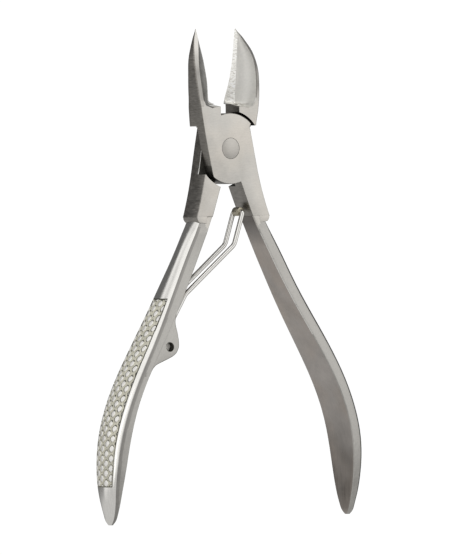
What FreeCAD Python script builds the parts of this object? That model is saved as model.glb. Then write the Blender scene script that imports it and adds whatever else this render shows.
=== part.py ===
import FreeCAD, Part
import Sketcher
import math
import os

# Plier-type nail nipper with a half-lap joint, held open by its wire spring.
# Frame: origin on the pivot axis in the joint's rear face, +X right, +Y to the rear,
# +Z up with the jaws at the top. Millimetres.
# Shapes are drawn about the joint's mid thickness, and each Placement then moves its
# piece forward by half the joint's thickness.
# The front lever has the left jaw and right handle, the rear lever the other two.

V = FreeCAD.Vector
doc = FreeCAD.newDocument("nail_nipper")

# ---------------------------------------------------------------- driving dimensions
SIZES = [
    # joint
    ("plate_half", 3.0), ("lap_gap", 0.02), ("neck_half", 3.2),
    ("disc_radius", 8.8), ("lower_radius", 8.9), ("shoulder_radius", 9.45),
    ("lower_clear_radius", 10.1), ("neck_in", 0.54),
    # rivet
    ("rivet_shank_radius", 2.0), ("rivet_head_radius", 2.6),
    ("rivet_head_depth", 0.9), ("rivet_play", 0.03),
    # jaws
    ("half_open_deg", 11.15), ("edge_gap", 0.015), ("bevel_deg", 40.0),
    ("jaw_wall", 2.8), ("jaw_wall_top", 11.1), ("hollow_depth", 0.9), ("back_crown", 0.35),
    # spring pin, and the slot and channel in the left handle
    ("pin_x", -20.7), ("pin_z", -49.0), ("pin_radius", 1.2), ("pin_recess", 1.5),
    ("pin_chamfer", 0.25), ("slot_half", 2.7), ("slot_radius", 2.95), ("channel_depth", 2.8),
    ("channel_top", -25.5), ("channel_full", -31.5), ("channel_bottom", -47.5),
    # spring wire
    ("wire_radius", 0.6), ("loop_radius", 1.95), ("loop_span_deg", 320.0),
    ("arm_half", 2.0), ("arm_corner", 0.7),
    ("tail_half", 0.64), ("tail_length", 10.5), ("tail_deg", 31.0),
    ("leg_one_x", -18.2), ("leg_one_z", -42.9), ("leg_two_x", -13.9), ("leg_two_z", -36.15),
    ("leg_three_x", 1.2), ("leg_three_z", -24.1),
    # roller
    ("roller_x", 4.0), ("roller_z", -15.85), ("roller_radius", 1.12),
    ("roller_half", 1.25), ("roller_bore", 0.64), ("roller_chamfer", 0.12),
    # recessed panel on each handle's outer face
    ("grip_top", -37.0), ("grip_bottom", -84.3), ("grip_depth", 0.2), ("grip_share", 0.8),
]

# Handle stations: height, inner face, half width front to back, side thickness, crown height
HANDLE_COLUMNS = ("height", "inner", "width", "side", "crown")
HEIGHT, INNER, WIDTH, SIDE, CROWN = range(5)
RIGHT_STATIONS = [
    (-17.0, 6.44, 3.20, 3.10, 0.45), (-20.0, 7.91, 3.36, 3.05, 0.98),
    (-24.0, 9.91, 3.38, 3.12, 1.30), (-28.0, 11.95, 3.47, 3.20, 1.30),
    (-33.0, 14.58, 3.75, 3.15, 1.35), (-38.0, 17.37, 4.16, 3.10, 1.45),
    (-43.0, 20.33, 4.59, 3.10, 1.60), (-48.0, 23.38, 4.98, 3.10, 1.68),
    (-53.0, 26.37, 5.28, 3.00, 1.75), (-58.0, 29.11, 5.49, 2.82, 1.80),
    (-63.0, 31.39, 5.58, 2.64, 1.82), (-68.0, 33.11, 5.58, 2.52, 1.82),
    (-73.0, 34.23, 5.46, 2.43, 1.78), (-78.0, 34.85, 5.11, 2.26, 1.66),
    (-82.0, 35.10, 4.58, 2.03, 1.52), (-85.5, 35.23, 3.87, 1.80, 1.34),
    (-88.5, 35.32, 3.00, 1.55, 1.06), (-90.6, 35.42, 2.20, 1.32, 0.78),
    (-92.1, 35.56, 1.30, 1.10, 0.48), (-92.85, 35.75, 0.45, 0.70, 0.20),
]
# The left handle is thicker towards the gap and a little slimmer from front to back.
# Its stations are given as on the right-hand side.
LEFT_STATIONS = [
    (-17.0, 5.90, 3.15, 3.30, 0.45), (-20.0, 7.15, 3.08, 3.46, 0.90),
    (-24.0, 8.96, 3.02, 3.65, 1.15), (-28.0, 10.90, 3.14, 3.78, 1.22),
    (-33.0, 13.55, 3.55, 3.76, 1.30), (-38.0, 16.35, 3.98, 3.60, 1.42),
    (-43.0, 19.28, 4.40, 3.52, 1.52), (-48.0, 22.35, 4.79, 3.40, 1.62),
    (-53.0, 25.38, 5.06, 3.24, 1.70), (-58.0, 28.16, 5.26, 3.12, 1.74),
    (-63.0, 30.44, 5.33, 3.10, 1.74), (-68.0, 32.08, 5.25, 3.24, 1.70),
    (-73.0, 33.22, 5.03, 3.32, 1.60), (-78.0, 34.03, 4.68, 3.22, 1.32),
    (-82.0, 34.60, 4.22, 2.92, 1.10), (-85.5, 35.02, 3.62, 2.36, 1.05),
    (-88.5, 35.25, 2.90, 1.77, 0.95), (-90.6, 35.40, 2.18, 1.38, 0.75),
    (-92.1, 35.56, 1.30, 1.10, 0.48), (-92.85, 35.75, 0.45, 0.70, 0.20),
]
# Jaw stations: height, y of the cutting edge, bevel width, then x and y of the land's
# inner corner, the outer front corner and the outer back corner
JAW_COLUMNS = ("height", "edge_y", "bevel", "land_x", "land_y",
               "front_x", "front_y", "back_x", "back_y")
JAW_STATIONS = [
    (9.0, 3.00, 2.95, 7.60, -3.00, 8.62, -2.96, 8.90, 2.50),
    (10.2, 3.00, 2.90, 7.75, -3.00, 8.80, -2.93, 9.00, 2.45),
    (12.1, 3.00, 2.75, 8.00, -3.00, 9.13, -2.77, 9.20, 2.10),
    (14.6, 2.55, 2.20, 8.35, -2.94, 9.39, -2.55, 9.57, 1.67),
    (17.1, 2.10, 1.70, 8.55, -2.66, 9.58, -2.26, 9.72, 1.45),
    (19.6, 2.03, 1.38, 8.62, -2.26, 9.62, -1.85, 9.75, 1.35),
    (22.1, 2.08, 1.15, 8.42, -1.74, 9.40, -1.10, 9.60, 1.40),
    (24.6, 2.35, 1.08, 7.78, -0.78, 8.85, -0.13, 8.88, 1.70),
    (27.1, 2.65, 1.00, 6.85, 0.70, 7.83, 1.24, 7.74, 2.20),
    (28.5, 2.78, 0.80, 6.40, 1.62, 7.02, 2.00, 6.96, 2.50),
    (29.5, 2.90, 0.38, 6.10, 2.50, 6.34, 2.62, 6.32, 2.82),
    (30.0, 2.94, 0.16, 6.03, 2.78, 6.12, 2.82, 6.11, 2.92),
]

sheet = doc.addObject("Spreadsheet::Sheet", "sizes")
stored = []


def put(alias, value):
    """Store a value in the next row of the sheet."""
    stored.append(alias)
    row = len(stored)
    sheet.set("A%d" % row, alias)
    sheet.set("B%d" % row, repr(float(value)))
    sheet.setAlias("B%d" % row, alias)


def size(alias):
    return float(sheet.get(alias))


def put_table(prefix, columns, table):
    for i, station in enumerate(table):
        for column, value in zip(columns, station):
            put("%s_%s_n%02d" % (prefix, column, i), value)


def read_table(prefix, columns, count):
    return [tuple(size("%s_%s_n%02d" % (prefix, column, i)) for column in columns)
            for i in range(count)]


for alias, value in SIZES:
    put(alias, value)
put_table("handle", HANDLE_COLUMNS, RIGHT_STATIONS)
put_table("left", HANDLE_COLUMNS, LEFT_STATIONS)
put_table("jaw", JAW_COLUMNS, JAW_STATIONS)
doc.recompute()

right_table = read_table("handle", HANDLE_COLUMNS, len(RIGHT_STATIONS))
left_table = read_table("left", HANDLE_COLUMNS, len(LEFT_STATIONS))
jaw_table = read_table("jaw", JAW_COLUMNS, len(JAW_STATIONS))


def value_at(table, z, column):
    """Handle table value at a height, by straight interpolation."""
    for upper, lower in zip(table[:-1], table[1:]):
        if lower[HEIGHT] <= z <= upper[HEIGHT]:
            share = (z - upper[HEIGHT]) / (lower[HEIGHT] - upper[HEIGHT])
            return upper[column] + share * (lower[column] - upper[column])


# The pin ends short of the left handle's front and back faces.
put("pin_half", value_at(left_table, size("pin_z"), WIDTH) - size("pin_recess"))
doc.recompute()

plate_half = size("plate_half")
pin_x, pin_z = size("pin_x"), size("pin_z")
THROUGH = 9.0  # holes are cut this far each way from mid thickness


# ---------------------------------------------------------------- helpers
def spline(points):
    """Smooth curve through (x, y, z) points at evenly spaced parameters."""
    curve = Part.BSplineCurve()
    last = len(points) - 1
    curve.interpolate(Points=[V(*p) for p in points],
                      Parameters=[i / float(last) for i in range(last + 1)])
    return curve.toShape()


def line(start, end):
    return Part.makeLine(V(*start), V(*end))


def lines_xz(*points):
    """Straight edges through (x, z) points."""
    return [line((a[0], 0, a[1]), (b[0], 0, b[1])) for a, b in zip(points, points[1:])]


def arc_xz(*points):
    """Arc through three (x, z) points."""
    return Part.Arc(*[V(x, 0, z) for x, z in points]).toShape()


def polar(radius, degrees, x=0.0, z=0.0):
    """Point at an angle about (x, z), measured from +X towards +Z."""
    angle = math.radians(degrees)
    return (x + radius * math.cos(angle), z + radius * math.sin(angle))


def pivot_arc(radius, start_deg, end_deg):
    return arc_xz(*[polar(radius, a) for a in (start_deg, (start_deg + end_deg) / 2.0, end_deg)])


def prism(edges, y0, y1):
    """A closed outline in the XZ plane, pushed along Y."""
    face = Part.Face(Part.Wire(edges))
    face.translate(V(0, y0, 0))
    return face.extrude(V(0, y1 - y0, 0))


def polygon_prism(points, y0, y1):
    return prism(lines_xz(*points, points[0]), y0, y1)


def box(x0, x1, y0, y1, z0, z1):
    return Part.makeBox(x1 - x0, y1 - y0, z1 - z0, V(x0, y0, z0))


def barrel(radius, y0, y1, x=0.0, z=0.0):
    return Part.makeCylinder(radius, y1 - y0, V(x, y0, z), V(0, 1, 0))


def ring(x0, x1, half_width, z):
    """Level rectangle, as a loft section."""
    w = half_width
    return Part.makePolygon([V(x0, -w, z), V(x0, w, z), V(x1, w, z), V(x1, -w, z), V(x0, -w, z)])


# ---------------------------------------------------------------- handle, right-hand side
LEAST_CROWN = 0.05
GRIP_STEPS = 10
GRIP_REACH = 8.0  # how far the panel's cutter reaches beyond the side face


def handle_section(station, crown_power, drop=0.0):
    """Flat inner face and sides, domed outer face lowered by drop."""
    z, inner, width, side, crown = station
    crown = max(crown - drop, LEAST_CROWN)
    outer = inner + side
    angles = [math.radians(90 - 30.0 * k) for k in range(7)]
    dome = [(outer + crown * math.cos(a) ** crown_power, width * math.sin(a), z) for a in angles]
    return Part.Wire([line((inner, -width, z), (inner, width, z)),
                      line((inner, width, z), (outer, width, z)),
                      spline(dome),
                      line((outer, -width, z), (inner, -width, z))])


def handle_solid(table, crown_power):
    """Handle with a shallow panel sunk in its outer face."""
    full = Part.makeLoft([handle_section(s, crown_power) for s in table], True, False)
    core = Part.makeLoft([handle_section(s, crown_power, size("grip_depth")) for s in table],
                         True, False)
    top, bottom = size("grip_top"), size("grip_bottom")
    rings = []
    for k in range(GRIP_STEPS + 1):
        z = top + (bottom - top) * k / float(GRIP_STEPS)
        inner, side = value_at(table, z, INNER), value_at(table, z, SIDE)
        width = value_at(table, z, WIDTH) * size("grip_share")
        rings.append(ring(inner + side * 0.5, inner + side + GRIP_REACH, width, z))
    zone = Part.makeLoft(rings, True, False)
    return full.cut(zone.cut(core))


# ---------------------------------------------------------------- jaw, right-hand side
# Outer edge of the jaw's base (x, z), from the top down
BASE_EDGE = [(8.86, 10.75), (7.4, 2.1), (5.6, -6.4)]
BASE_TOP = BASE_EDGE[0][1]
BASE_SLOPE_X = 6.8        # the base's top slopes down from here to the inner wall
BASE_WALL_Z = 9.6         # top of the base at the inner wall
SHOULDER_END_DEG = 36.6
SHOULDER_LOW_Z, SHOULDER_MID_Z = 5.62, 8.2  # heights on the outer edge
BLADE_TRIM_Z = 5.0        # bottom of the box that trims the blade's foot


def bowed(start, end, bow_x, bow_y, z):
    """Curve between two (x, y) points at height z, bowed at its middle by (bow_x, bow_y)."""
    points = []
    for s in (0, 0.25, 0.5, 0.75, 1):
        swell = 4 * s * (1 - s)
        points.append((start[0] + (end[0] - start[0]) * s + bow_x * swell,
                       start[1] + (end[1] - start[1]) * s + bow_y * swell, z))
    return spline(points)


def jaw_section(station):
    """Edge, bevel, hollowed front, land, outer side and crowned back."""
    z, edge_y, bevel, land_x, land_y, front_x, front_y, back_x, back_y = station
    edge_x = z * math.tan(math.radians(size("half_open_deg"))) + size("edge_gap")
    slant = math.radians(size("bevel_deg"))
    bevel_x = edge_x + bevel * math.sin(slant)
    bevel_y = edge_y - bevel * math.cos(slant)
    chord = math.hypot(land_x - bevel_x, land_y - bevel_y)
    hollow = size("hollow_depth") * min(1.0, chord / 5.0)
    crown = size("back_crown") * min(1.0, (back_x - edge_x) / 4.0)
    return Part.Wire([
        line((edge_x, edge_y, z), (bevel_x, bevel_y, z)),
        bowed((bevel_x, bevel_y), (land_x, land_y),
              -(land_y - bevel_y) / chord * hollow, (land_x - bevel_x) / chord * hollow, z),
        line((land_x, land_y, z), (front_x, front_y, z)),
        line((front_x, front_y, z), (back_x, back_y, z)),
        bowed((back_x, back_y), (edge_x, edge_y), 0.0, crown, z)])


def jaw_right():
    """Lofted blade on a full-thickness base whose underside clears the lap disc."""
    blade = Part.makeLoft([jaw_section(s) for s in jaw_table], True, False)
    wall, radius = size("jaw_wall"), size("shoulder_radius")
    wall_deg = math.degrees(math.acos(wall / radius))
    edge_circle = Part.Circle(*[V(x, 0, z) for x, z in BASE_EDGE])
    centre = edge_circle.Center

    def on_edge(z):
        return (centre.x + math.sqrt(edge_circle.Radius ** 2 - (z - centre.z) ** 2), z)

    low = on_edge(SHOULDER_LOW_Z)
    edges = [pivot_arc(radius, wall_deg, SHOULDER_END_DEG)]
    edges += lines_xz(polar(radius, SHOULDER_END_DEG), low)
    edges.append(arc_xz(low, on_edge(SHOULDER_MID_Z), BASE_EDGE[0]))
    edges += lines_xz(BASE_EDGE[0], (BASE_SLOPE_X, BASE_TOP), (wall, BASE_WALL_Z),
                      polar(radius, wall_deg))
    base = prism(edges, -plate_half, plate_half)
    foot = box(-2, wall, -2 * plate_half, 2 * plate_half, BLADE_TRIM_Z, size("jaw_wall_top"))
    return blade.cut(foot).fuse([base])


# ---------------------------------------------------------------- lap plate
# Drawn for the front lever: left jaw base, disc and right neck.
WALL_CLEARANCE = 0.1
DISC_START_DEG = 44.0
LOWER_START_DEG, LOWER_END_DEG = -126.5, -70.8
FOOT_SHIFT = 1.45
# Neck's outer edge from the foot up: x, z, shift towards the centre line per unit of neck_in
NECK_OUTER = [(11.6, -17.0, FOOT_SHIFT), (9.72, -11.6, 0.78), (8.1, -5.4, 0.22),
              (6.98, 0.2, 0.0), (5.95, 5.4, 0.0)]
# Small block (x, z) across the join of neck and handle
FOOT_BLOCK = [(8.4, -16.5), (11.2, -16.5), (11.5, -17.0), (11.4, -17.5), (10.85, -18.4),
              (8.6, -18.6)]
FOOT_BLOCK_INSET = 0.05
# The rear half is cut away above these heights: right across, and left of NECK_CUT_X
WIDE_CUT_Z, NECK_CUT_Z, NECK_CUT_X = -6.4, -9.4, 3.2
CUT_SIDE, CUT_BACK, CUT_TALL = 30.0, 20.0, 40.0  # the cutters' reach


def lap_plate(neck_in):
    """neck_in: how much nearer the centre line the neck's foot sits than on the front lever."""
    gap = size("lap_gap") / 2.0
    neck_half = size("neck_half")
    disc, lower = size("disc_radius"), size("lower_radius")
    wall = size("jaw_wall") + WALL_CLEARANCE
    wall_z = math.sqrt(disc * disc - wall * wall)
    base_edge = [(-x, z) for x, z in BASE_EDGE]
    lower_end = polar(lower, LOWER_END_DEG)
    inner_top = (lower_end[0] + 0.15, lower_end[1] - 0.35)
    inner_mid = (4.62 - 0.36 * neck_in, -12.7)
    inner_low = (right_table[0][INNER] - neck_in, right_table[0][HEIGHT])
    outer = [(x - shift * neck_in, z) for x, z, shift in NECK_OUTER]

    edges = [arc_xz(*base_edge)]
    edges += lines_xz(base_edge[-1], polar(lower, LOWER_START_DEG))
    edges.append(pivot_arc(lower, LOWER_START_DEG, LOWER_END_DEG))
    edges += lines_xz(lower_end, inner_top)
    edges.append(arc_xz(inner_top, inner_mid, inner_low))
    edges += lines_xz(inner_low, outer[0])
    edges += [arc_xz(*outer[:3]), arc_xz(*outer[2:])]
    edges += lines_xz(outer[-1], polar(disc, DISC_START_DEG))
    edges.append(pivot_arc(disc, DISC_START_DEG, math.degrees(math.atan2(wall_z, -wall))))
    edges += lines_xz((-wall, wall_z), (-wall, BASE_WALL_Z), (-BASE_SLOPE_X, BASE_TOP),
                      base_edge[0])
    whole = prism(edges, -plate_half, neck_half)

    # the rear half stays only in the neck, outside the other lever's lap disc
    wide_cut = box(-CUT_SIDE, CUT_SIDE, -gap, CUT_BACK - gap, WIDE_CUT_Z, WIDE_CUT_Z + CUT_TALL)
    rear_cut = wide_cut.fuse(barrel(size("lower_clear_radius"), -gap, CUT_BACK - 0.1))
    rear_cut = rear_cut.fuse(box(-CUT_SIDE, NECK_CUT_X, -gap, CUT_BACK - gap,
                                 NECK_CUT_Z, NECK_CUT_Z + CUT_TALL))
    block = polygon_prism([(x - FOOT_SHIFT * neck_in, z) for x, z in FOOT_BLOCK],
                          -plate_half + FOOT_BLOCK_INSET, neck_half - FOOT_BLOCK_INSET)
    return whole.cut(rear_cut).fuse(block)


def rivet_hole(play):
    """Through hole countersunk at both faces, larger than the rivet by play."""
    shank = size("rivet_shank_radius") + play
    head = size("rivet_head_radius") + play
    depth = size("rivet_head_depth")
    return barrel(shank, -THROUGH, THROUGH).fuse([
        Part.makeCone(head, shank, depth, V(0, -plate_half, 0), V(0, 1, 0)),
        Part.makeCone(shank, head, depth, V(0, plate_half - depth, 0), V(0, 1, 0)),
        barrel(head, -THROUGH, -plate_half),
        barrel(head, plate_half, THROUGH)])


# ---------------------------------------------------------------- ear and slot, left handle
# Free edge of the ear (x, z), from the top down
EAR_EDGE = [
    (-18.0, -40.8), (-18.4, -42.0), (-18.55, -43.0), (-18.45, -44.0), (-18.2, -45.1),
    (-18.0, -46.4), (-17.9, -47.4), (-17.87, -48.3), (-18.05, -49.3), (-18.75, -50.5),
    (-19.8, -51.3), (-21.3, -51.95), (-23.4, -52.75), (-24.8, -53.3), (-25.7, -53.95),
    (-26.4, -54.8), (-27.2, -56.2),
]
EAR_BACK = [(-28.8, -56.2), (-20.2, -40.8)]  # corners inside the handle, from the bottom up
EAR_HALF = 7.0         # half depth before the ear is trimmed to the handle's width
EAR_INSET = 0.05
CHANNEL_HEIGHTS = [-34.0, -37.0, -40.0, -43.0, -46.0]
CHANNEL_REACH = 9.0    # how far the channel's cutter stands out of the inner face
# Opening from the pin's slot towards the gap: x from the pin, z
GULLET = [(-1.5, -46.5), (0.6, -52.5), (8.0, -50.5), (8.0, -40.0), (0.0, -40.0)]


def spring_ear():
    """Lug on the left handle that takes the spring pin."""
    edges = [spline([(x, 0, z) for x, z in EAR_EDGE])]
    edges += lines_xz(EAR_EDGE[-1], *EAR_BACK, EAR_EDGE[0])
    rings = [ring(-40, -10, s[WIDTH] - EAR_INSET, s[HEIGHT]) for s in left_table[4:12]]
    return prism(edges, -EAR_HALF, EAR_HALF).common(Part.makeLoft(rings, True, True))


def spring_slot():
    """Round slot about the pin, its gullet, and the channel down the inner face."""
    half, depth = size("slot_half"), size("channel_depth")
    top, bottom = size("channel_top"), size("channel_bottom")

    def face_x(z):
        return -value_at(left_table, z, INNER)

    outline = [(face_x(top), top)]
    for z in [size("channel_full")] + CHANNEL_HEIGHTS + [bottom]:
        outline.append((face_x(z) - depth, z))
    outline += [(face_x(z) + CHANNEL_REACH, z) for z in (bottom, top)]
    channel = polygon_prism(outline, -half, half)
    gullet = polygon_prism([(pin_x + x, z) for x, z in GULLET], -half, half)
    return barrel(size("slot_radius"), -half, half, pin_x, pin_z).fuse([gullet, channel])


# ---------------------------------------------------------------- levers
def mirrored(shape):
    """Swap left and right."""
    return shape.mirror(V(0, 0, 0), V(1, 0, 0))


def turned(shape):
    """Half a turn about Z, which swaps left with right and front with back."""
    copy = shape.copy()
    copy.rotate(V(0, 0, 0), V(0, 0, 1), 180)
    return copy


def front_lever(jaw):
    handle = handle_solid(right_table, crown_power=1.2)
    lever = lap_plate(0.0).fuse([mirrored(jaw), handle]).cut(rivet_hole(size("rivet_play")))
    return lever.removeSplitter()


def rear_lever(jaw):
    handle = mirrored(handle_solid(left_table, crown_power=1.6))
    lever = turned(lap_plate(size("neck_in"))).fuse([jaw, handle, spring_ear()])
    lever = lever.cut(spring_slot())
    lever = lever.cut(barrel(size("pin_radius"), -THROUGH, THROUGH, pin_x, pin_z))
    return lever.cut(rivet_hole(0.0)).removeSplitter()


# ---------------------------------------------------------------- wire spring
LEG_BENDS = [5.0, 2.2, 3.0]  # bend radii from the loop to the roller


def loop_arc(y, start_deg, end_deg):
    """Part of a turn round the spring pin, at depth y."""
    points = []
    for degrees in (start_deg, (start_deg + end_deg) / 2.0, end_deg):
        x, z = polar(size("loop_radius"), degrees, pin_x, pin_z)
        points.append(V(x, y, z))
    return Part.Arc(*points).toShape()


def filleted(points, radii):
    """Straight runs joined by tangent arcs, in 3-D."""
    corners = [V(*p) for p in points]
    edges, start = [], corners[0]
    for before, corner, after, radius in zip(corners, corners[1:], corners[2:], radii):
        back, ahead = before - corner, after - corner
        back.normalize()
        ahead.normalize()
        half_angle = back.getAngle(ahead) / 2.0
        setback = radius / math.tan(half_angle)
        arc_start, arc_end = corner + back * setback, corner + ahead * setback
        bisector = back + ahead
        bisector.normalize()
        centre = corner + bisector * (radius / math.sin(half_angle))
        if (arc_start - start).Length > 1e-6:
            edges.append(Part.makeLine(start, arc_start))
        edges.append(Part.Arc(arc_start, centre - bisector * radius, arc_end).toShape())
        start = arc_end
    edges.append(Part.makeLine(start, corners[-1]))
    return edges


def wire_along(path):
    """Round wire swept along a path of edges."""
    first = path[0]
    begin = first.FirstParameter
    circle = Part.makeCircle(size("wire_radius"), first.valueAt(begin), first.tangentAt(begin))
    return Part.Wire(path).makePipeShell([Part.Wire([circle])], True, True)


def spring_arm():
    """Two legs from loops round the pin, joined by a crosspiece through the roller."""
    half, radius, span = size("arm_half"), size("loop_radius"), size("loop_span_deg")
    bends = [(size(name + "_x"), size(name + "_z"))
             for name in ("leg_one", "leg_two", "leg_three", "roller")]
    dx, dz = bends[0][0] - pin_x, bends[0][1] - pin_z
    # where the line from the first bend touches the loop
    touch_deg = math.degrees(math.atan2(dz, dx) - math.acos(radius / math.hypot(dx, dz)))
    side = [polar(radius, touch_deg, pin_x, pin_z)] + bends
    points = [(x, -half, z) for x, z in side] + [(x, half, z) for x, z in reversed(side)]
    radii = LEG_BENDS + [size("arm_corner")] * 2 + LEG_BENDS[::-1]
    return wire_along([loop_arc(-half, touch_deg - span, touch_deg)] + filleted(points, radii)
                      + [loop_arc(half, touch_deg, touch_deg - span)])


def spring_coil():
    """Two loops round the pin whose tails lie along the left handle and join in a U."""
    half, length, span = size("tail_half"), size("tail_length"), size("loop_span_deg")
    lean = math.radians(size("tail_deg"))
    lean_x, lean_z = math.sin(lean), math.cos(lean)
    touch_deg = 180.0 - size("tail_deg")
    x, z = polar(size("loop_radius"), touch_deg, pin_x, pin_z)
    end_x, end_z = x + lean_x * length, z + lean_z * length
    bend = Part.Arc(V(end_x, -half, end_z),
                    V(end_x + lean_x * half, 0, end_z + lean_z * half),
                    V(end_x, half, end_z)).toShape()
    return wire_along([loop_arc(-half, touch_deg + span, touch_deg),
                       line((x, -half, z), (end_x, -half, end_z)),
                       bend,
                       line((end_x, half, end_z), (x, half, z)),
                       loop_arc(half, touch_deg, touch_deg + span)])


def add_feature(name, shape):
    feature = doc.addObject("Part::Feature", name)
    feature.Shape = shape
    feature.Placement = FreeCAD.Placement(V(0, -plate_half, 0), FreeCAD.Rotation())
    feature.Label = name
    return feature


# ---------------------------------------------------------------- turned pieces
def measure(text):
    """Value and sheet expression of "alias" or "alias - alias"; no text means zero."""
    if not text:
        return 0.0, None
    names = text.split(" - ")
    value = size(names[0]) - sum(size(name) for name in names[1:])
    return value, " - ".join("sizes." + name for name in names)


def turned_body(name, half_profile, x, z):
    """Body revolved about its own Z axis, then laid along +Y at (x, z).

    half_profile lists (radius, height) measures from the top end's centre outwards;
    the lower half is its mirror image.
    """
    upper = [(measure(radius), measure(height)) for radius, height in half_profile]
    lower = [(radius, (-value, "-(%s)" % expression)) for radius, (value, expression) in upper]
    profile = lower + upper[::-1]
    corners = [V(radius[0], height[0], 0) for radius, height in profile]
    count = len(corners)

    body = doc.addObject("PartDesign::Body", name)
    body.Label = name
    sketch = body.newObject("Sketcher::SketchObject", name + "_profile")
    plane = next(f for f in body.Origin.OriginFeatures if f.Role == "XZ_Plane")
    sketch.AttachmentSupport = [(plane, "")]
    sketch.MapMode = "FlatFace"
    for i in range(count):
        sketch.addGeometry(Part.LineSegment(corners[i], corners[(i + 1) % count]), False)
    for i in range(count):
        sketch.addConstraint(Sketcher.Constraint("Coincident", i, 2, (i + 1) % count, 1))
    for i, corner in enumerate(profile):
        for kind, (value, expression) in zip(("DistanceX", "DistanceY"), corner):
            index = sketch.addConstraint(Sketcher.Constraint(kind, -1, 1, i, 1, value))
            if expression:
                sketch.setExpression("Constraints[%d]" % index, expression)
    doc.recompute()

    revolution = body.newObject("PartDesign::Revolution", name + "_turned")
    revolution.Profile = sketch
    revolution.ReferenceAxis = (sketch, ["V_Axis"])
    revolution.Angle = 360
    body.Tip = revolution
    body.Placement = FreeCAD.Placement(V(x, -plate_half, z),
                                       FreeCAD.Rotation(V(1, 0, 0), -90))
    doc.recompute()
    return body


# ---------------------------------------------------------------- pieces
right_jaw = jaw_right()
pieces = [
    add_feature("front_lever", front_lever(right_jaw)),
    add_feature("rear_lever", rear_lever(right_jaw)),
    add_feature("spring_arm", spring_arm()),
    add_feature("spring_coil", spring_coil()),
    turned_body("pivot_rivet", [
        ("", "plate_half"),
        ("rivet_head_radius", "plate_half"),
        ("rivet_shank_radius", "plate_half - rivet_head_depth")], 0, 0),
    turned_body("spring_pin", [
        ("", "pin_half"),
        ("pin_radius - pin_chamfer", "pin_half"),
        ("pin_radius", "pin_half - pin_chamfer")], pin_x, pin_z),
    turned_body("spring_roller", [
        ("roller_bore", "roller_half"),
        ("roller_radius - roller_chamfer", "roller_half"),
        ("roller_radius", "roller_half - roller_chamfer")], size("roller_x"), size("roller_z")),
]
doc.recompute()

# ---------------------------------------------------------------- checks, then files
for item in doc.Objects:
    if "Invalid" in item.State or "Error" in item.State:
        raise RuntimeError("%s: %s" % (item.Name, item.State))
for piece in pieces:
    if piece.Shape.isNull() or not piece.Shape.isValid():
        raise RuntimeError("bad shape: " + piece.Label)
    if len(piece.Shape.Solids) != 1:
        raise RuntimeError("%s has %d solids" % (piece.Label, len(piece.Shape.Solids)))

os.makedirs("parts", exist_ok=True)
for piece in pieces:
    piece.Shape.exportStep("parts/%s.step" % piece.Label)
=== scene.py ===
"""Spring-loaded nippers: two levers crossing in a lap joint, with a spring arm and roller between.

The rivet's axis is Y, through x = z = 0. Jaws point up (+Z), handles down, and -Y is the front.
Shapes are in mm about the middle of the joint; place() moves the origin into its rear face.
Left is -X: the front lever has the left jaw and right handle, the rear lever the other two.
"""
import math
from contextlib import contextmanager

import bmesh
import bpy
import numpy as np
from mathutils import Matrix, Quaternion, Vector


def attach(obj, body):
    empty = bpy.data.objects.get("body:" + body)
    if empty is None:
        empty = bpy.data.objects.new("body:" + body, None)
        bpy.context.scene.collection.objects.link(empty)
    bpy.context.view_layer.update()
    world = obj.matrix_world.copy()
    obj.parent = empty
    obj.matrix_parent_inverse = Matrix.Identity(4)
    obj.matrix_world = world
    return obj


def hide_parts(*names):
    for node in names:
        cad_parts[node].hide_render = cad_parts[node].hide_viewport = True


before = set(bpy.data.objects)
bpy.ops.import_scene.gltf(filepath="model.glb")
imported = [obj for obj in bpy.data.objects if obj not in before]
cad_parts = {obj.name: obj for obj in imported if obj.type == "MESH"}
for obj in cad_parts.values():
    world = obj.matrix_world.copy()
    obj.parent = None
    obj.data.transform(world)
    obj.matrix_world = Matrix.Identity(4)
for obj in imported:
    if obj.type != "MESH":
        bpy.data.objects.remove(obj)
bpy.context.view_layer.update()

MM = 0.001

# ---------------------------------------------------------------- sizes, mm
LAP = 3.0                      # thickness of one lap disc
NECK_BACK = 3.2                # y of the neck's far face
GAP = 0.01                     # from the joint's middle plane to a lap face
DISC_R, LOW_DISC_R = 8.8, 8.9  # lap disc above, and along its lower edge
SHOULDER_R, CLEAR_R = 9.45, 10.1  # cut round the other disc, in the jaw and in the plate
NECK_IN = 0.54                 # how far the rear lever's neck lies inward
NECK_OUTER_SHARE = 1.45        # share of that by which the neck's outer edge moves
HALF_OPENING = math.radians(11.15)  # lean of each cutting edge
RIVET_R = 2.6
FAR = 20.0                     # cutters reach this far past the piece

PIN_X, PIN_Z = -20.7, -49.0
PIN_R, PIN_HALF_LENGTH = 1.19, 3.36
SLOT_HALF = 2.7                # half width of the slot in the left handle
EAR_HALF = 4.0                 # half width of the ear before it follows the handle

WIRE_R, WIRE_SIDES = 0.6, 28
LOOP_R, LOOP_TURN = 1.95, 320  # wire loops round the pin, degrees of turn
ROLLER = (4.0, -15.85)         # x, z
ROLLER_R, ROLLER_BORE, ROLLER_HALF, ROLLER_CHAMFER = 1.12, 0.64, 1.25, 0.14

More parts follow.
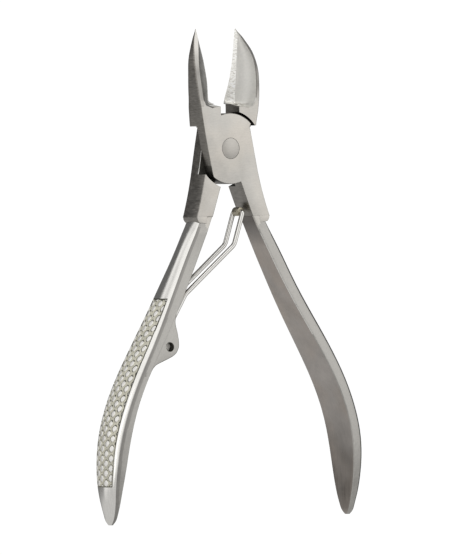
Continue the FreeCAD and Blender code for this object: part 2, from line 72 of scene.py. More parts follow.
# handle stations: z, inner x, half width, depth in x, height of the crown on its outer side
RIGHT_HANDLE = np.array([
    (-17.0, 6.44, 3.20, 3.10, 0.45), (-20.0, 7.91, 3.36, 3.05, 0.98),
    (-24.0, 9.91, 3.38, 3.12, 1.30), (-28.0, 11.95, 3.47, 3.20, 1.30),
    (-33.0, 14.58, 3.75, 3.15, 1.35), (-38.0, 17.37, 4.16, 3.10, 1.45),
    (-43.0, 20.33, 4.59, 3.10, 1.60), (-48.0, 23.38, 4.98, 3.10, 1.68),
    (-53.0, 26.37, 5.28, 3.00, 1.75), (-58.0, 29.11, 5.49, 2.82, 1.80),
    (-63.0, 31.39, 5.58, 2.64, 1.82), (-68.0, 33.11, 5.58, 2.52, 1.82),
    (-73.0, 34.23, 5.46, 2.43, 1.78), (-78.0, 34.85, 5.11, 2.26, 1.66),
    (-82.0, 35.10, 4.58, 2.03, 1.52), (-85.5, 35.23, 3.87, 1.80, 1.34),
    (-88.5, 35.32, 3.00, 1.55, 1.06), (-90.6, 35.42, 2.20, 1.32, 0.78),
    (-92.1, 35.56, 1.30, 1.10, 0.48), (-92.85, 35.75, 0.45, 0.70, 0.20)])
LEFT_HANDLE = np.array([
    (-17.0, 5.90, 3.15, 3.30, 0.45), (-20.0, 7.15, 3.08, 3.46, 0.90),
    (-24.0, 8.96, 3.02, 3.65, 1.15), (-28.0, 10.90, 3.14, 3.78, 1.22),
    (-33.0, 13.55, 3.55, 3.76, 1.30), (-38.0, 16.35, 3.98, 3.60, 1.42),
    (-43.0, 19.28, 4.40, 3.52, 1.52), (-48.0, 22.35, 4.79, 3.40, 1.62),
    (-53.0, 25.38, 5.06, 3.24, 1.70), (-58.0, 28.16, 5.26, 3.12, 1.74),
    (-63.0, 30.44, 5.33, 3.10, 1.74), (-68.0, 32.08, 5.25, 3.24, 1.70),
    (-73.0, 33.22, 5.03, 3.32, 1.60), (-78.0, 34.03, 4.68, 3.22, 1.32),
    (-82.0, 34.60, 4.22, 2.92, 1.10), (-85.5, 35.02, 3.62, 2.36, 1.05),
    (-88.5, 35.25, 2.90, 1.77, 0.95), (-90.6, 35.40, 2.18, 1.38, 0.75),
    (-92.1, 35.56, 1.30, 1.10, 0.48), (-92.85, 35.75, 0.45, 0.70, 0.20)])
# jaw stations: z, y of the cutting edge, bevel length, then x, y of three corners:
# the land's start, the outer front corner and the outer back corner
JAW = np.array([
    (5.0, 3.00, 2.95, 7.20, -3.00, 7.86, -2.97, 8.55, 2.62),
    (7.0, 3.00, 2.95, 7.35, -3.00, 8.16, -2.97, 8.76, 2.58),
    (9.0, 3.00, 2.95, 7.60, -3.00, 8.62, -2.96, 8.92, 2.50),
    (10.2, 3.00, 2.90, 7.75, -3.00, 8.80, -2.93, 9.02, 2.45),
    (12.1, 3.00, 2.75, 8.00, -3.00, 9.13, -2.77, 9.22, 2.10),
    (14.6, 2.55, 2.20, 8.35, -2.94, 9.39, -2.55, 9.57, 1.67),
    (17.1, 2.10, 1.70, 8.55, -2.66, 9.58, -2.26, 9.72, 1.45),
    (19.6, 2.03, 1.38, 8.62, -2.26, 9.62, -1.85, 9.75, 1.35),
    (22.1, 2.08, 1.15, 8.42, -1.74, 9.40, -1.10, 9.60, 1.40),
    (24.6, 2.35, 1.08, 7.78, -0.78, 8.85, -0.13, 8.88, 1.70),
    (27.1, 2.65, 1.00, 6.85, 0.70, 7.83, 1.24, 7.74, 2.20),
    (28.5, 2.78, 0.80, 6.40, 1.62, 7.02, 2.00, 6.96, 2.50),
    (29.5, 2.90, 0.38, 6.10, 2.50, 6.34, 2.62, 6.32, 2.82),
    (30.0, 2.94, 0.16, 6.03, 2.78, 6.12, 2.82, 6.11, 2.92)])


def smooth_table(table):
    """Natural cubic splines through a table whose first column is the height."""
    table = table[np.argsort(table[:, 0])]
    heights, values = table[:, 0], table[:, 1:]
    count, step = len(heights), np.diff(heights)
    matrix = np.eye(count)
    right = np.zeros((count, values.shape[1]))
    for i in range(1, count - 1):
        matrix[i, i - 1:i + 2] = step[i - 1], 2 * (step[i - 1] + step[i]), step[i]
        right[i] = 6 * ((values[i + 1] - values[i]) / step[i]
                        - (values[i] - values[i - 1]) / step[i - 1])
    curvature = np.linalg.solve(matrix, right)

    def at(z):
        z = float(min(max(z, heights[0]), heights[-1]))
        i = int(min(max(np.searchsorted(heights, z) - 1, 0), count - 2))
        low, high = (heights[i + 1] - z) / step[i], (z - heights[i]) / step[i]
        bend = (low ** 3 - low) * curvature[i] + (high ** 3 - high) * curvature[i + 1]
        return low * values[i] + high * values[i + 1] + bend * step[i] ** 2 / 6
    return at


right_at, left_at, jaw_at = map(smooth_table, (RIGHT_HANDLE, LEFT_HANDLE, JAW))


# ---------------------------------------------------------------- mesh helpers
@contextmanager
def editing(mesh):
    bm = bmesh.new()
    bm.from_mesh(mesh)
    yield bm
    bm.to_mesh(mesh)
    bm.free()


def link(name, mesh):
    ob = bpy.data.objects.new(name, mesh)
    bpy.context.scene.collection.objects.link(ob)
    return ob


def discard(ob):
    mesh = ob.data
    bpy.data.objects.remove(ob)
    bpy.data.meshes.remove(mesh)


def new_object(name, verts, faces, mats, indices=None, angle=32.0):
    """An object from points in mm; edges sharper than the angle stay sharp."""
    mesh = bpy.data.meshes.new(name)
    mesh.from_pydata([(x * MM, y * MM, z * MM) for x, y, z in verts], [], faces)
    for mat in mats:
        mesh.materials.append(mat)
    if indices is not None:
        mesh.polygons.foreach_set("material_index", indices)
    mesh.validate()
    with editing(mesh) as bm:
        bmesh.ops.recalc_face_normals(bm, faces=bm.faces)
    ob = link(name, mesh)
    shade(ob, angle)
    return ob


def shade(ob, angle):
    mesh = ob.data
    mesh.polygons.foreach_set("use_smooth", [True] * len(mesh.polygons))
    limit = math.radians(angle)
    with editing(mesh) as bm:
        for edge in bm.edges:
            edge.smooth = not (len(edge.link_faces) == 2 and edge.calc_face_angle(0) > limit)


def cut(ob, cutter):
    """Takes the cutter out of the object; cut faces get the cutter's material."""
    modifier = ob.modifiers.new("b", "BOOLEAN")
    modifier.operation, modifier.solver, modifier.object = "DIFFERENCE", "EXACT", cutter
    modifier.material_mode = "TRANSFER"
    depsgraph = bpy.context.evaluated_depsgraph_get()
    mesh = bpy.data.meshes.new_from_object(ob.evaluated_get(depsgraph), depsgraph=depsgraph)
    ob.modifiers.clear()
    old = ob.data
    ob.data = mesh
    bpy.data.meshes.remove(old)
    discard(cutter)


def join(name, obs):
    """Several meshes as one object, sharing material slots and keeping sharp edges."""
    mats, verts, faces, indices, sharp = [], [], [], [], set()
    for ob in obs:
        mesh, base = ob.data, len(verts)
        slots = []
        for mat in mesh.materials:
            if mat not in mats:
                mats.append(mat)
            slots.append(mats.index(mat))
        verts += [v.co[:] for v in mesh.vertices]
        for face in mesh.polygons:
            faces.append([base + i for i in face.vertices])
            indices.append(slots[face.material_index])
        sharp |= {tuple(sorted(base + i for i in edge.vertices))
                  for edge in mesh.edges if edge.use_edge_sharp}
    mesh = bpy.data.meshes.new(name)
    mesh.from_pydata(verts, [], faces)
    for mat in mats:
        mesh.materials.append(mat)
    mesh.polygons.foreach_set("material_index", indices)
    mesh.polygons.foreach_set("use_smooth", [True] * len(mesh.polygons))
    for edge in mesh.edges:
        edge.use_edge_sharp = tuple(sorted(edge.vertices)) in sharp
    mesh.validate()
    joined = link(name, mesh)
    for ob in obs:
        discard(ob)
    return joined


def place(ob, body, node_name):
    """Moves the origin into the joint's rear face, then puts the object on its body."""
    for v in ob.data.vertices:
        v.co.y -= LAP * MM
    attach(ob, body)
    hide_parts(node_name)


def mirror_x(ob):
    for v in ob.data.vertices:
        v.co.x = -v.co.x
    ob.data.flip_normals()
    return ob


def turn_z(ob):
    """Half a turn about Z."""
    for v in ob.data.vertices:
        v.co.x, v.co.y = -v.co.x, -v.co.y
    return ob


# ---------------------------------------------------------------- outlines in XZ
def disc_arc(radius, start, end, steps):
    """An arc about the joint's axis, angles in degrees."""
    angles = [math.radians(start + (end - start) * k / steps) for k in range(steps + 1)]
    return [(radius * math.cos(a), radius * math.sin(a)) for a in angles]


def circle3(p, q, r):
    """Centre and radius of the circle through three points."""
    (ax, az), (bx, bz), (cx, cz) = p, q, r
    a2, b2, c2 = ax * ax + az * az, bx * bx + bz * bz, cx * cx + cz * cz
    d = 2 * (ax * (bz - cz) + bx * (cz - az) + cx * (az - bz))
    x = (a2 * (bz - cz) + b2 * (cz - az) + c2 * (az - bz)) / d
    z = (a2 * (cx - bx) + b2 * (ax - cx) + c2 * (bx - ax)) / d
    return x, z, math.hypot(ax - x, az - z)


def arc3(p, q, r, steps):
    """Points on the arc p-q-r."""
    cx, cz, radius = circle3(p, q, r)
    a = [math.atan2(z - cz, x - cx) for x, z in (p, q, r)]
    for i in (1, 2):
        while a[i] - a[i - 1] > math.pi:
            a[i] -= 2 * math.pi
        while a[i] - a[i - 1] < -math.pi:
            a[i] += 2 * math.pi
    angles = [a[0] + (a[2] - a[0]) * k / steps for k in range(steps + 1)]
    return [(cx + radius * math.cos(t), cz + radius * math.sin(t)) for t in angles]


def clean(points, eps=1e-4):
    """A closed outline without repeated points."""
    out = []
    for p in points:
        if not out or math.dist(p, out[-1]) > eps:
            out.append(p)
    if math.dist(out[0], out[-1]) < eps:
        out.pop()
    return out


def inset(points, distance):
    """A closed outline moved inward, with mitred corners."""
    n = len(points)
    area = sum(points[i][0] * points[(i + 1) % n][1] - points[(i + 1) % n][0] * points[i][1]
               for i in range(n)) / 2
    sign = 1.0 if area > 0 else -1.0
    out = []
    for i in range(n):
        a, b, c = (np.array(points[k % n]) for k in (i - 1, i, i + 1))
        u, v = (b - a) / np.linalg.norm(b - a), (c - b) / np.linalg.norm(c - b)
        normal_u, normal_v = sign * np.array([-u[1], u[0]]), sign * np.array([-v[1], v[0]])
        mitre = normal_u + normal_v
        out.append(tuple(b + mitre / max(np.dot(mitre, normal_u), 0.5) * distance))
    return out


def smooth_open(points, steps=4):
    """Catmull-Rom curve through an open list of points."""
    p = [np.array(q, float) for q in points]
    p = [2 * p[0] - p[1]] + p + [2 * p[-1] - p[-2]]
    out = []
    for a, b, c, d in zip(p, p[1:], p[2:], p[3:]):
        for k in range(steps):
            s = k / steps
            out.append(tuple(0.5 * (2 * b + (-a + c) * s + (2 * a - 5 * b + 4 * c - d) * s * s
                                    + (-a + 3 * b - 3 * c + d) * s ** 3)))
    out.append(tuple(p[-2]))
    return out


# ---------------------------------------------------------------- solids
def loft_quads(rows, n):
    """Side faces between closed rows of n points."""
    return [[r * n + i, r * n + (i + 1) % n, (r + 1) * n + (i + 1) % n, (r + 1) * n + i]
            for r in range(rows - 1) for i in range(n)]


def loft_caps(rows, n):
    return [list(range(n))[::-1], list(range((rows - 1) * n, rows * n))]


def ring(x, y, z, radius, sides):
    angles = [2 * math.pi * k / sides for k in range(sides)]
    return [(x + radius * math.cos(a), y, z + radius * math.sin(a)) for a in angles]


def prism(name, outline, y0, y1, mats, bevel0=0.0, bevel1=0.0):
    """An outline in XZ pushed along Y with rounded rims; mats: end faces, then sides."""
    outline = clean(outline)
    n = len(outline)

    def rim(bevel, y, sign):
        # (inset, height above the end face)
        profile = [(bevel, 0.0), (bevel * 0.42, bevel * 0.12),
                   (bevel * 0.12, bevel * 0.42), (0.0, bevel)] if bevel > 0 else [(0.0, 0.0)]
        return [(inset(outline, d) if d > 0 else outline, y + sign * e) for d, e in profile]
    rows = rim(bevel0, y0, 1) + rim(bevel1, y1, -1)[::-1]
    verts = [(x, y, z) for points, y in rows for x, z in points]
    sides = loft_quads(len(rows), n)
    last = list(range((len(rows) - 1) * n, len(rows) * n))
    faces = [list(range(n))] + sides + [last[::-1]]
    return new_object(name, verts, faces, mats, [0] + [1] * len(sides) + [0])


def block_cutter(outline, y0, y1, mat):
    return prism("cutter", outline, y0, y1, [mat, mat])


def drum_cutter(radius, y0, y1, mat, sides, x=0, z=0):
    verts = ring(x, y0, z, radius, sides) + ring(x, y1, z, radius, sides)
    caps = [list(range(sides)), list(range(sides, 2 * sides))[::-1]]
    return new_object("cutter", verts, caps + loft_quads(2, sides), [mat])


def turned(name, half_profile, x, z, mat, sides):
    """A (radius, y) profile turned about Y and mirrored in y; off the axis it has a bore."""
    profile = half_profile + [(radius, -y) for radius, y in half_profile[::-1]]
    verts, rings, faces = [], [], []
    for radius, y in profile:
        if radius == 0:
            rings.append([len(verts)] * sides)
            verts.append((x, y, z))
        else:
            rings.append(list(range(len(verts), len(verts) + sides)))
            verts += ring(x, y, z, radius, sides)
    if profile[0][0] > 0:
        rings.append(rings[0])
    for a, b in zip(rings, rings[1:]):
        for k in range(sides):
            j = (k + 1) % sides
            faces.append(list(dict.fromkeys((a[k], a[j], b[j], b[k]))))
    return new_object(name, verts, faces, [mat])


def wire(name, points):
    """Round wire along a dense path, its rings carried without twist, with domed ends."""
    dome = [(0.0, 0.72), (0.10, 0.92), (0.30, 1.0)]  # distance from the end, radius, in radii
    p = [Vector(q) for q in points]
    last = len(p) - 1
    tangents = [(p[min(i + 1, last)] - p[max(i - 1, 0)]).normalized() for i in range(len(p))]
    across = tangents[0].cross(Vector((0, 1, 0))).normalized()
    previous = tangents[0]
    verts = []
    for i, tangent in enumerate(tangents):
        axis = previous.cross(tangent)
        if axis.length > 1e-9:
            across = Quaternion(axis.normalized(), previous.angle(tangent)) @ across
        previous = tangent
        across = (across - tangent * across.dot(tangent)).normalized()
        if i == 0:
            rings = [(p[0] + tangent * WIRE_R * d, share) for d, share in dome]
        elif i == last:
            rings = [(p[-1] - tangent * WIRE_R * d, share) for d, share in dome[::-1]]
        else:
            rings = [(p[i], 1.0)]
        up = tangent.cross(across)
        for centre, share in rings:
            for k in range(WIRE_SIDES):
                a = 2 * math.pi * k / WIRE_SIDES
                offset = (across * math.cos(a) + up * math.sin(a)) * (WIRE_R * share)
                verts.append(tuple(centre + offset))
    rows = len(verts) // WIRE_SIDES
    faces = loft_quads(rows, WIRE_SIDES) + loft_caps(rows, WIRE_SIDES)
    return new_object(name, verts, faces, [WIRE_MAT])


# ---------------------------------------------------------------- shader helpers
class Graph:
    """Adds nodes to a tree; any input may be a value or another node's socket."""

    def __init__(self, tree, interpolation="LINEAR"):
        self.tree, self.interpolation = tree, interpolation

    def put(self, socket, value):
        if isinstance(value, bpy.types.NodeSocket):
            self.tree.links.new(value, socket)
        else:
            socket.default_value = value

    def add(self, kind, **inputs):
        node = self.tree.nodes.new(kind)
        for key, value in inputs.items():
            self.put(node.inputs[key.replace("_", " ")], value)
        return node

    def noise(self, vector, scale, detail, roughness):
        return self.add("ShaderNodeTexNoise", Vector=vector, Scale=scale, Detail=detail,
                        Roughness=roughness).outputs["Fac"]

    def remap(self, value, span, to):
        node = self.add("ShaderNodeMapRange", Value=value, From_Min=span[0], From_Max=span[1],
                        To_Min=to[0], To_Max=to[1])
        node.interpolation_type = self.interpolation
        return node.outputs["Result"]

    def math(self, operation, a, b):
        node = self.tree.nodes.new("ShaderNodeMath")
        node.operation = operation
        self.put(node.inputs[0], a)
        self.put(node.inputs[1], b)
        return node.outputs[0]


# ---------------------------------------------------------------- materials
TINT = (1.0, 0.985, 0.96)  # warms every steel
ROUGH_SPREAD = 0.12        # variation of the roughness


def steel(name, base, rough, grain=(2500, 2500, 120), turn=(0, 0, 0), contrast=0.10,
          blotch=0.06, bump=0.15, metallic=1.0, pit=0.0, hue=0.0, fade=()):
    """Ground steel: stretched noise for grinding marks, broad blotches and a small bump.

    grain and turn scale and rotate the marks; contrast, blotch and pit are the depths of the
    marks, blotches and specks; hue is a drift between cooler and warmer. Each fade is
    (upper z, brightness there, lower z, brightness there).
    """
    mat = bpy.data.materials.new(name)
    mat.use_nodes = True
    graph = Graph(mat.node_tree)
    bsdf = mat.node_tree.nodes["Principled BSDF"]
    coords = graph.add("ShaderNodeTexCoord").outputs["Object"]
    mapping = graph.add("ShaderNodeMapping", Vector=coords, Rotation=turn, Scale=grain)
    fine = graph.noise(mapping.outputs["Vector"], scale=1.0, detail=3.0, roughness=0.6)
    broad = graph.noise(coords, scale=170.0, detail=4.0, roughness=0.55)
    speck = graph.noise(coords, scale=2600.0, detail=2.0, roughness=0.6)

    marks = graph.remap(fine, span=(0.3, 0.7), to=(1 - contrast, 1 + contrast))
    blotches = graph.remap(broad, span=(0.3, 0.7), to=(1 - blotch, 1 + blotch))
    value = graph.math("MULTIPLY", marks, blotches)
    if pit > 0:
        pits = graph.remap(speck, span=(0.36, 0.5), to=(1 - pit, 1.0))
        value = graph.math("MULTIPLY", value, pits)
    if fade:
        height = graph.add("ShaderNodeSeparateXYZ", Vector=coords).outputs["Z"]
        for upper, at_upper, lower, at_lower in fade:
            level = graph.remap(height, span=(lower * MM, upper * MM), to=(at_lower, at_upper))
            value = graph.math("MULTIPLY", value, level)
    scaled = graph.add("ShaderNodeVectorMath")
    scaled.operation = "SCALE"
    graph.put(scaled.inputs[0], tuple(b * t for b, t in zip(base, TINT)))
    graph.put(scaled.inputs["Scale"], value)
    colour = scaled.outputs["Vector"]
    if hue > 0:
        drift = graph.noise(coords, scale=95.0, detail=3.0, roughness=0.5)
        shift = graph.remap(drift, span=(0.38, 0.62), to=(-hue, hue))
        warmth = graph.add("ShaderNodeCombineXYZ", X=graph.math("ADD", 1.0, shift), Y=1.0,
                           Z=graph.math("SUBTRACT", 1.0, shift))
        warmed = graph.add("ShaderNodeVectorMath")
        warmed.operation = "MULTIPLY"
        graph.put(warmed.inputs[0], colour)
        graph.put(warmed.inputs[1], warmth.outputs[0])
        colour = warmed.outputs["Vector"]
    graph.put(bsdf.inputs["Base Color"], colour)
    fine_rough = graph.remap(fine, span=(0.3, 0.7),
                             to=(rough - ROUGH_SPREAD / 2, rough + ROUGH_SPREAD / 2))
    broad_rough = graph.remap(broad, span=(0.35, 0.65), to=(-ROUGH_SPREAD / 3, ROUGH_SPREAD / 3))
    graph.put(bsdf.inputs["Roughness"], graph.math("ADD", fine_rough, broad_rough))
    bsdf.inputs["Metallic"].default_value = metallic
    relief = graph.math("ADD", fine, graph.math("MULTIPLY", speck, 0.6))
    bumps = graph.add("ShaderNodeBump", Strength=bump, Distance=0.00003, Height=relief)
    graph.put(bsdf.inputs["Normal"], bumps.outputs["Normal"])
    return mat


FACE_MAT = steel("steel_face", base=(0.655, 0.638, 0.608), rough=0.42, grain=(700, 500, 2400),
                 turn=(0, 0.12, 0), contrast=0.08, blotch=0.13, bump=0.12, hue=0.012)
LAND_MAT = steel("steel_jaw_land", base=(0.60, 0.59, 0.57), rough=0.34,
                 grain=(1600, 1600, 300), contrast=0.08, bump=0.1)
SIDE_MAT = steel("steel_ground_side", base=(0.275, 0.265, 0.25), rough=0.38,
                 grain=(800, 700, 4200), turn=(0.6, 0, 0), contrast=0.28, bump=0.35)
NECK_MAT = steel("steel_ground_neck", base=(0.31, 0.30, 0.285), rough=0.36,
                 grain=(500, 420, 3000), turn=(0.5, 0, 0), contrast=0.24, blotch=0.08, bump=0.3)
HOLLOW_MAT = steel("steel_jaw_hollow", base=(0.75, 0.75, 0.735), rough=0.58,
                   grain=(1700, 1700, 1700), contrast=0.06, bump=0.16, blotch=0.03)
# painted shade: a dark copy of the hollow's steel for the left jaw's hollow, which lies in shade
# from this side
HOLLOW_SHADE_MAT = steel("steel_jaw_hollow_painted_shade", base=(0.20, 0.20, 0.195), rough=0.30,
                        grain=(1500, 1500, 500), contrast=0.22, bump=0.16, blotch=0.12)
BEVEL_MAT = steel("steel_cutting_bevel", base=(0.90, 0.90, 0.88), rough=0.46,
                  grain=(1300, 1300, 3000), turn=(0.2, 0.7, 0), contrast=0.40, bump=0.7)
HANDLE_MAT = steel("steel_handle_side", base=(0.49, 0.485, 0.47), rough=0.40,
                   grain=(1500, 1500, 1100), contrast=0.07, blotch=0.08, bump=0.2, pit=0.06)
HANDLE_SHADE_MAT = steel("steel_handle_side_shaded", base=(0.355, 0.35, 0.34), rough=0.40,
                         grain=(1500, 1500, 1100), contrast=0.07, blotch=0.08, bump=0.2)
CROWN_MAT = steel("steel_handle_crown", base=(0.94, 0.94, 0.93), rough=0.17,
                  grain=(2600, 2600, 90), contrast=0.04, blotch=0.03, bump=0.05)
# the first fade is painted shade on the inner face below the joint, round the roller; the second
# makes it darker towards the tip
INNER_MAT = steel("steel_handle_inner", base=(0.49, 0.455, 0.43), rough=0.36,
                  grain=(2400, 2400, 100), contrast=0.08, blotch=0.12, bump=0.12, hue=0.02,
                  fade=[(-18.5, 0.42, -25.0, 1.0), (-58.0, 1.0, -80.0, 0.80)])
# painted shade: a dark strip along the right handle's crown edges, where the crown turns away from
# the lamps
CROWN_EDGE_SHADE_MAT = steel("steel_handle_crown_edge", base=(0.10, 0.098, 0.092), rough=0.30,
                       grain=(2600, 2600, 90), contrast=0.06, blotch=0.05, bump=0.05)
# painted highlight: a broken bright line along the right handle's inner corner
CREASE_HIGHLIGHT_MAT = steel("steel_handle_crease_painted_highlight", base=(0.95, 0.95, 0.93), rough=0.30,
                   grain=(2600, 2600, 900), contrast=0.12, blotch=0.05, bump=0.1)
ETCH_MAT = steel("steel_etched_grip", base=(0.72, 0.71, 0.615), rough=0.70,
                 grain=(2500, 2500, 2500), contrast=0.20, blotch=0.08, bump=0.5, pit=0.25,
                 metallic=0.2)
# painted shadow: dark steel on one side of each pip and round the stamped field's border, standing
# in for shade in the crevices; lighter lower down
PIP_SHADOW_MAT = steel("steel_grip_painted_shadow", base=(0.10, 0.10, 0.08), rough=0.6,
                grain=(2500, 2500, 2500), contrast=0.30, blotch=0.1, bump=0.3, metallic=0.4)
LOW_PIP_SHADOW_MAT = steel("steel_grip_painted_shadow_low", base=(0.28, 0.275, 0.235), rough=0.6,
                    grain=(2500, 2500, 2500), contrast=0.25, blotch=0.1, bump=0.3, metallic=0.3)
# the pips are polished steel, brighter than the etched field; their near-white, half-diffuse
# colour also paints their highlight
PIP_MAT = steel("steel_grip_pip", base=(0.97, 0.97, 0.96), rough=0.34,
                grain=(2200, 2200, 2200), contrast=0.08, bump=0.2, metallic=0.4)
RIVET_MAT = steel("steel_rivet", base=(0.575, 0.56, 0.535), rough=0.42,
                  grain=(600, 500, 2200), turn=(0, 0.9, 0), contrast=0.08, bump=0.12)
WIRE_MAT = steel("steel_spring_wire", base=(0.80, 0.80, 0.79), rough=0.14,
                 grain=(3000, 3000, 3000), contrast=0.05, blotch=0.03, bump=0.04)
ROLLER_MAT = steel("steel_roller", base=(0.50, 0.47, 0.38), rough=0.34,
                   grain=(300, 3000, 300), contrast=0.14, bump=0.2)
# painted shade: lap faces and hole walls, deep in narrow gaps, are coloured near black for their
# shadow
LAP_SHADE_MAT = steel("steel_lap_face", base=(0.10, 0.098, 0.09), rough=0.55,
                grain=(1500, 1500, 1500), contrast=0.15, bump=0.1)
SLOT_MAT = steel("steel_spring_slot", base=(0.27, 0.262, 0.245), rough=0.50,
                 grain=(1500, 1500, 1500), contrast=0.15, bump=0.1)
# painted light: a near-white, mostly diffuse colour brightens the pin end, which sits recessed in
# the hole's shadow
PIN_LIT_MAT = steel("steel_pin_end_painted_light", base=(0.95, 0.94, 0.91), rough=0.5,
                grain=(2000, 2000, 2000), bump=0.1, metallic=0.15)
# painted shade: near-black steel for walls in shadow, the shoulders in the gap round the other
# disc and the plate's lower left wall
PAINTED_SHADE_MAT = steel("steel_shoulder", base=(0.14, 0.135, 0.125), rough=0.42,
                     grain=(500, 2500, 500), contrast=0.2, bump=0.1)

# ---------------------------------------------------------------- handle, modelled at +x
GRIP_TOP, GRIP_BOTTOM = -37.0, -83.3
GRIP_DEPTH, GRIP_SHARE = 0.2, 0.80       # depth of the stamping, its share of the width
PIP_PITCH, PIP_COLUMN = 2.45, 1.58       # pip spacing along z, column spacing round the crown
PIP_HALF_ARC, PIP_HALF_HEIGHT = 0.88, 1.00
GRIP_BORDER = 0.22                       # flat margin inside the stamped field
EXPAND = 0.02                            # the handle is this much larger all round
INNER_POINTS, SIDE_POINTS, CROWN_STEPS = 9, 12, 100
HANDLE_ROWS = (list(np.arange(-16.6, GRIP_TOP + 0.6, -0.4))
               + list(np.arange(GRIP_TOP + 0.55, GRIP_BOTTOM - 0.55, -0.11))
               + list(np.arange(GRIP_BOTTOM - 0.6, -90.5, -0.35))
               + [-90.8, -91.2, -91.6, -91.95, -92.25, -92.5, -92.7, -92.82])
# a face's tag and its material, in slot order
HANDLE_MATS = {"inner": INNER_MAT, "side": HANDLE_MAT, "crown": CROWN_MAT, "etch": ETCH_MAT,
               "pip": PIP_MAT, "rim": PIP_SHADOW_MAT, "rim_low": LOW_PIP_SHADOW_MAT, "face": FACE_MAT,
               "crease_highlight": CREASE_HIGHLIGHT_MAT, "shade": HANDLE_SHADE_MAT, "dark": CROWN_EDGE_SHADE_MAT}


def crown_curve(start_x, half, height, power):
    """The crown's section from +y to -y: arc length, then x, y and the outward normal."""
    angle = np.linspace(math.pi / 2, -math.pi / 2, 721)
    x = start_x + height * np.clip(np.cos(angle), 0, 1) ** (2 * power)
    y = half * np.sin(angle)
    dx, dy = np.gradient(x), np.gradient(y)
    length = np.hypot(dx, dy)
    travel = np.concatenate([[0], np.cumsum(np.hypot(np.diff(x), np.diff(y)))])
    return travel, (x, y, -dy / length, dx / length)


def pips(arc, z, low):
    """Pip height 0-1, distance ratio of the nearest pip, and which side of it this is."""
    column = round(arc / PIP_COLUMN)
    best, near, side = 0.0, 9.0, 0.0
    grow = 0.76 + 0.22 * low * low
    power = 1.9 - 0.5 * low
    for c in (column - 1, column, column + 1):
        offset = (abs(c) % 2) * 0.5
        row = round((z - GRIP_TOP) / PIP_PITCH - offset)
        for k in (row - 1, row, row + 1):
            dz = z - (GRIP_TOP + (k + offset) * PIP_PITCH)
            ds = arc - c * PIP_COLUMN
            d = ((abs(ds) / (PIP_HALF_ARC * grow)) ** power
                 + (abs(dz) / (PIP_HALF_HEIGHT * grow)) ** power) ** (1 / power)
            if d < near:
                near = d
                side = ds * 0.8 - dz * 0.35
            if d < 1:
                t = min(1.0, (1 - d) / 0.28)
                t = t * t * (3 - 2 * t)
                best = max(best, t * (0.84 + 0.16 * (1 - d * d)))
    return best, near, side


def stamp(arc, z, low, inside):
    """Level and tag of a point this far inside the stamped field."""
    down = (GRIP_TOP - z) / (GRIP_TOP - GRIP_BOTTOM)
    best, near, side = pips(arc, z, down)
    wall = min(1.0, inside / 0.08)
    border = inside < GRIP_BORDER
    if border:
        best = 0.0
    moat = 1.0 + (0.3 if near < 1.16 and best == 0 else 0.0)
    level = -GRIP_DEPTH * wall * (moat - 1.08 * best)
    if best > 0.45:
        return level, "pip"
    # rim faces get the painted shadow: the field's border and one side of each pip
    if border or ((best > 0 or near < 1.15) and side < 0.18):
        return level, "rim"
    return level, "etch"


def handle_row(z, table, left):
    """One section: inner face, +y side, crown, -y side."""
    inner_x, half, depth, crown_height = table(z)
    half = half + EXPAND
    if z > -28.0:
        half = min(half, 2.993 + 0.06 * max(0.0, -19.5 - z))
    depth += EXPAND * 2
    inner_x -= EXPAND
    outer_x = inner_x + depth
    corner = min(0.28, half * 0.3, depth * 0.3)
    low = min(1.0, max(0.0, (-30.0 - z) / 45.0))
    if left:
        # the left crown blends far into the side face
        soft = min(0.62, 0.3 * depth) * min(1.0, max(0.0, (-37.0 - z) / 12.0))
        outer_x -= soft
        depth -= soft
        crown_height += soft
        power = 0.84 - 0.22 * low
    else:
        crown_height += 0.36 * math.exp(-((z + 38.0) / 17.0) ** 2)
        power = 0.66 - 0.06 * low
    # the sides dip in towards the crown
    dip = min((0.12 + 0.16 * low) * min(1.0, half / 3.0), 0.12 * half)
    dip_run = 0.55 + 0.5 * low

    inner = [(inner_x, (half - corner) * (-1 + 2 * k / 8.0)) for k in range(INNER_POINTS)]
    side = [(inner_x + corner - corner * math.cos(a), half - corner + corner * math.sin(a))
            for a in map(math.radians, (22.5, 45, 67.5))]
    for k in range(SIDE_POINTS):
        x = inner_x + corner + (depth - corner - 0.03) * (k / (SIDE_POINTS - 1)) ** 0.7
        side.append((x, half - dip * math.exp(-(outer_x - x) / dip_run)))
    side_tags = ["shade" if left and z < -19.5 and x > outer_x - 0.85 else "side"
                 for x, _ in side]
    # painted highlight on the inner corner of the right handle
    if not left and -47.0 < z < -21.5:
        side_tags[1] = "crease_highlight"

    crown, crown_tags = [], []
    travel, curves = crown_curve(outer_x, half - dip, crown_height, power)
    total = travel[-1]
    for arc in np.linspace(0, total, CROWN_STEPS + 1):
        x, y, normal_x, normal_y = (float(np.interp(arc, travel, c)) for c in curves)
        inside = min(GRIP_SHARE * half - abs(y), GRIP_TOP - z, z - GRIP_BOTTOM)
        # on the right handle the crown's edges get the painted shade
        tag = "crown" if left or 0.13 * total < arc < 0.87 * total else "dark"
        if inside > 0:
            level, tag = stamp(arc - total / 2, z, low, inside)
            x += normal_x * level
            y += normal_y * level
        crown.append((x, y))
        crown_tags.append(tag)
    # the far side repeats the flat backwards, then the corner backwards
    points = inner + side + crown + [(x, -y) for x, y in side[::-1]]
    return points, ["inner"] * INNER_POINTS + side_tags + crown_tags + side_tags[::-1]


